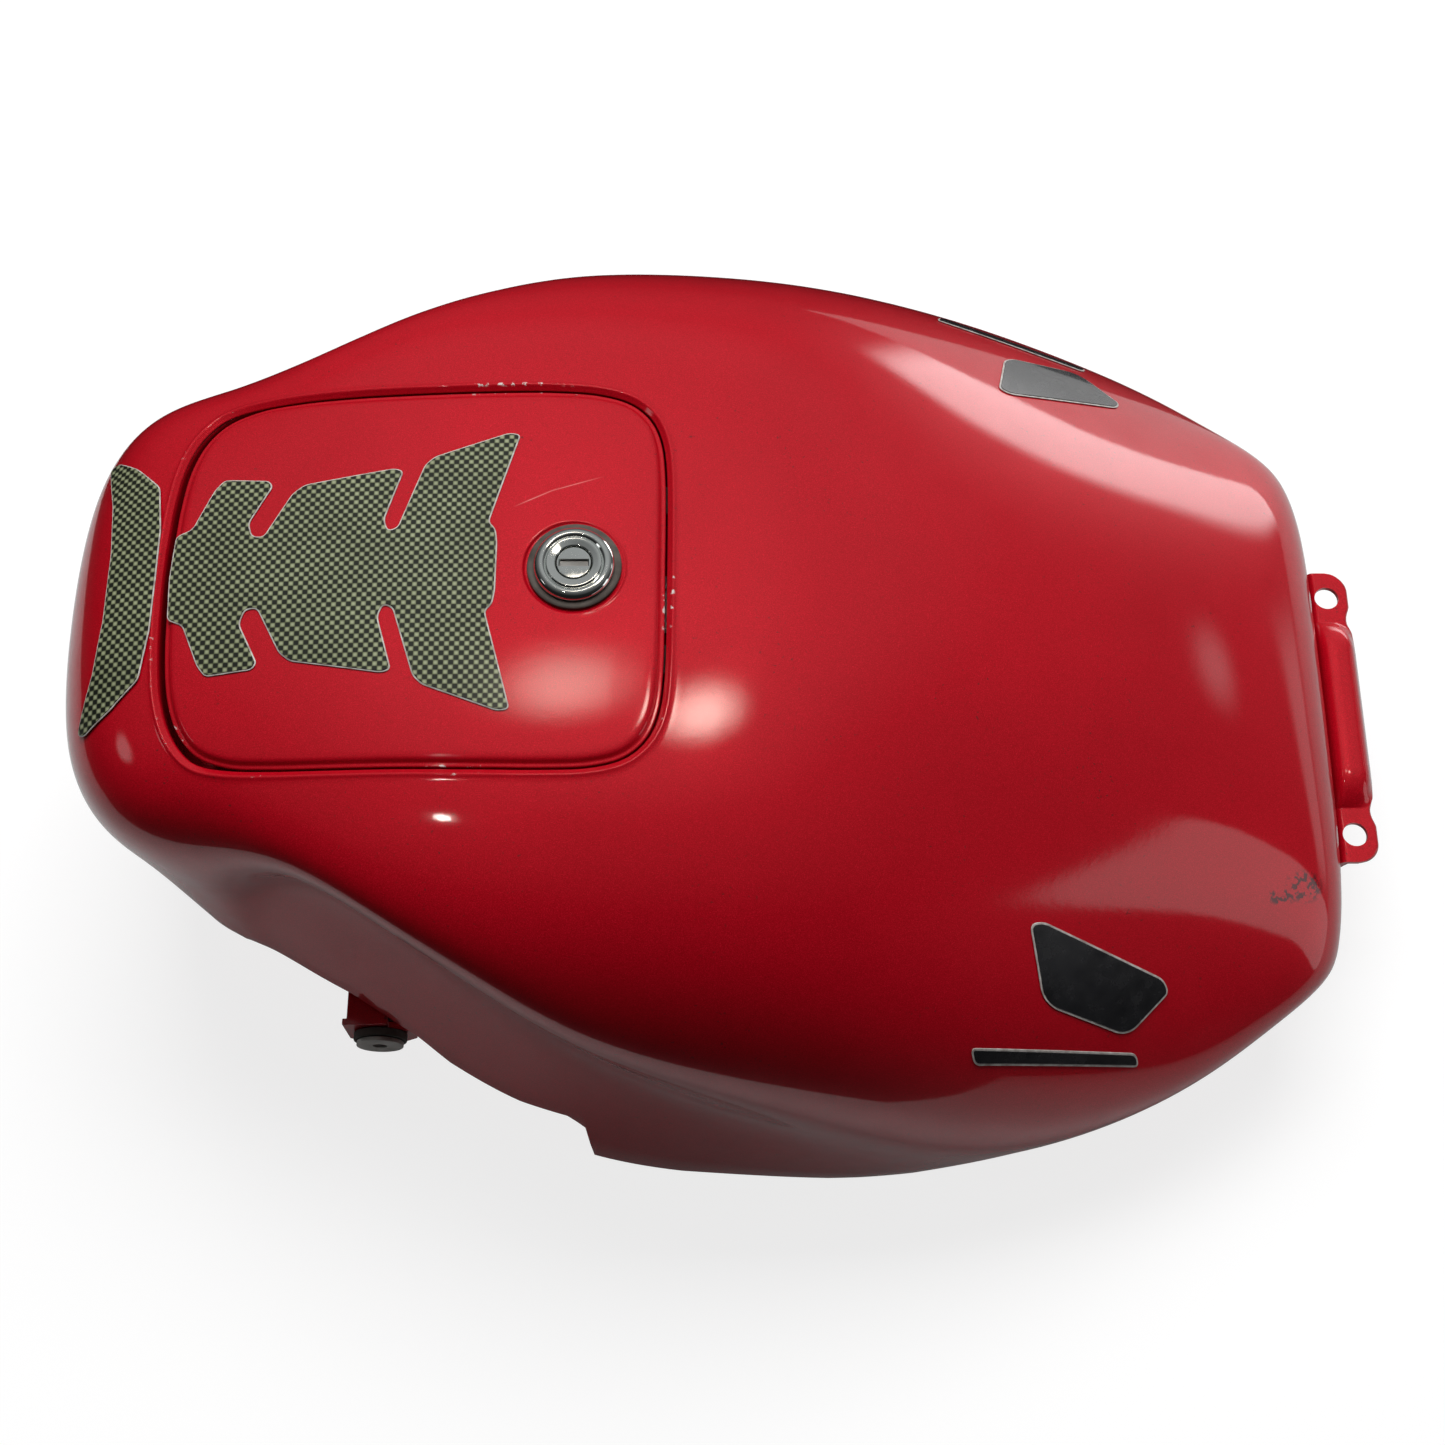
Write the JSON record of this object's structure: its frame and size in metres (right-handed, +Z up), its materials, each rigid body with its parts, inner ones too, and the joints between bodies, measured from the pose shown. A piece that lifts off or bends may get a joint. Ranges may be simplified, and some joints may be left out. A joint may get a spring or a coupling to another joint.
{
  "type": "fuel tank",
  "caption": "Pressed steel motorcycle fuel tank with knee hollows, a hinged lockable flap over the filler cap, tank pads, a front bracket and side lugs.",
  "frame": {"origin": "centre of the overall box in plan, on the plane the side tabs stand on", "axes": "+X to the front of the tank, +Y to its left, +Z up"},
  "size_m": [0.6112, 0.4282, 0.2367],
  "materials": {
    "red_paint": "candy red metallic with clear coat",
    "plated_steel": "zinc plated",
    "chrome": "polished",
    "rubber": "matt, slightly worn",
    "cast_alloy": "dull cast",
    "black_plastic": "fine texture",
    "carbon_pad": "carbon look checker under clear resin",
    "badge": "gloss sticker"
  },
  "bodies": {
    "tank": {"tank_skin": "red_paint", "base_pan": "red_paint", "filler_well": "red_paint", "front_bracket": "red_paint", "side_lug_left": "red_paint", "side_lug_right": "red_paint", "hinge_pin": "plated_steel", "hinge_bracket": "plated_steel", "hinge_screw_left": "plated_steel", "hinge_screw_right": "plated_steel", "filler_neck": "plated_steel", "striker_plate": "plated_steel", "drain_tube": "plated_steel", "breather_tube": "plated_steel", "baffle": "plated_steel", "tap_screw_rear": "plated_steel", "tap_screw_front": "plated_steel", "sender_plate": "plated_steel", "sender_screw_1": "plated_steel", "sender_screw_2": "plated_steel", "sender_screw_3": "plated_steel", "sender_screw_4": "plated_steel", "return_nipple": "plated_steel", "flap_buffer_left": "rubber", "flap_buffer_right": "rubber", "tap_gasket": "rubber", "sender_gasket": "rubber", "side_grommet_left": "rubber", "side_grommet_right": "rubber", "neck_ring": "cast_alloy", "tap_body": "cast_alloy", "side_collar_left": "cast_alloy", "side_collar_right": "cast_alloy", "tap_strainer": "black_plastic", "pad_rear": "carbon_pad", "emblem_left": "badge", "emblem_right": "badge", "emblem_bar_left": "badge", "emblem_bar_right": "badge"},
    "flap": {"flap_panel": "red_paint", "flap_inner": "red_paint", "hinge_arm_left": "plated_steel", "hinge_arm_right": "plated_steel", "pad_main": "carbon_pad", "lock_gasket": "rubber", "lock_bezel": "chrome", "lock_body": "plated_steel", "lock_nut": "plated_steel"},
    "lock_core": {"lock_plug": "chrome", "lock_cam": "plated_steel", "cam_nut": "plated_steel"},
    "key_cover": {"key_shutter": "cast_alloy"},
    "cap_core": {"cap_plug": "black_plastic", "cap_gasket": "rubber"},
    "cap_top": {"cap_shell": "black_plastic"},
    "tap_handle": {"tap_lever": "black_plastic"},
    "level_float": {"float_arm": "plated_steel", "float": "black_plastic"}
  },
  "joints": [
    {"name": "flap_hinge", "type": "hinge", "parent": "tank", "child": "flap", "pos_m": [-0.22785, 0, 0.21234], "axis": [0, -1, 0], "range_deg": [0, 85]},
    {"name": "lock_turn", "type": "hinge", "parent": "flap", "child": "lock_core", "pos_m": [-0.07285, 0, 0.22434], "axis": [0, 0, -1], "range_deg": [0, 90]},
    {"name": "key_cover_press", "type": "slide", "parent": "lock_core", "child": "key_cover", "axis": [0, 0, -1], "range_m": [0, 0.0016], "stiffness_N_per_m": 40, "springref_m": -0.0005},
    {"name": "cap_lift", "type": "slide", "parent": "tank", "child": "cap_core", "axis": [0, 0, 1], "range_m": [0, 0.014]},
    {"name": "cap_turn", "type": "hinge", "parent": "cap_core", "child": "cap_top", "pos_m": [-0.13885, 0, 0.19434], "axis": [0, 0, 1], "range_deg": [0, 90]},
    {"name": "tap_turn", "type": "hinge", "parent": "tank", "child": "tap_handle", "pos_m": [-0.11885, 0.135, 0.05234], "axis": [0, 1, 0], "range_deg": [-90, 90]},
    {"name": "float_swing", "type": "hinge", "parent": "tank", "child": "level_float", "pos_m": [0.00615, -0.125, 0.04634], "axis": [0, -1, 0], "range_deg": [0, 50]}
  ]
}
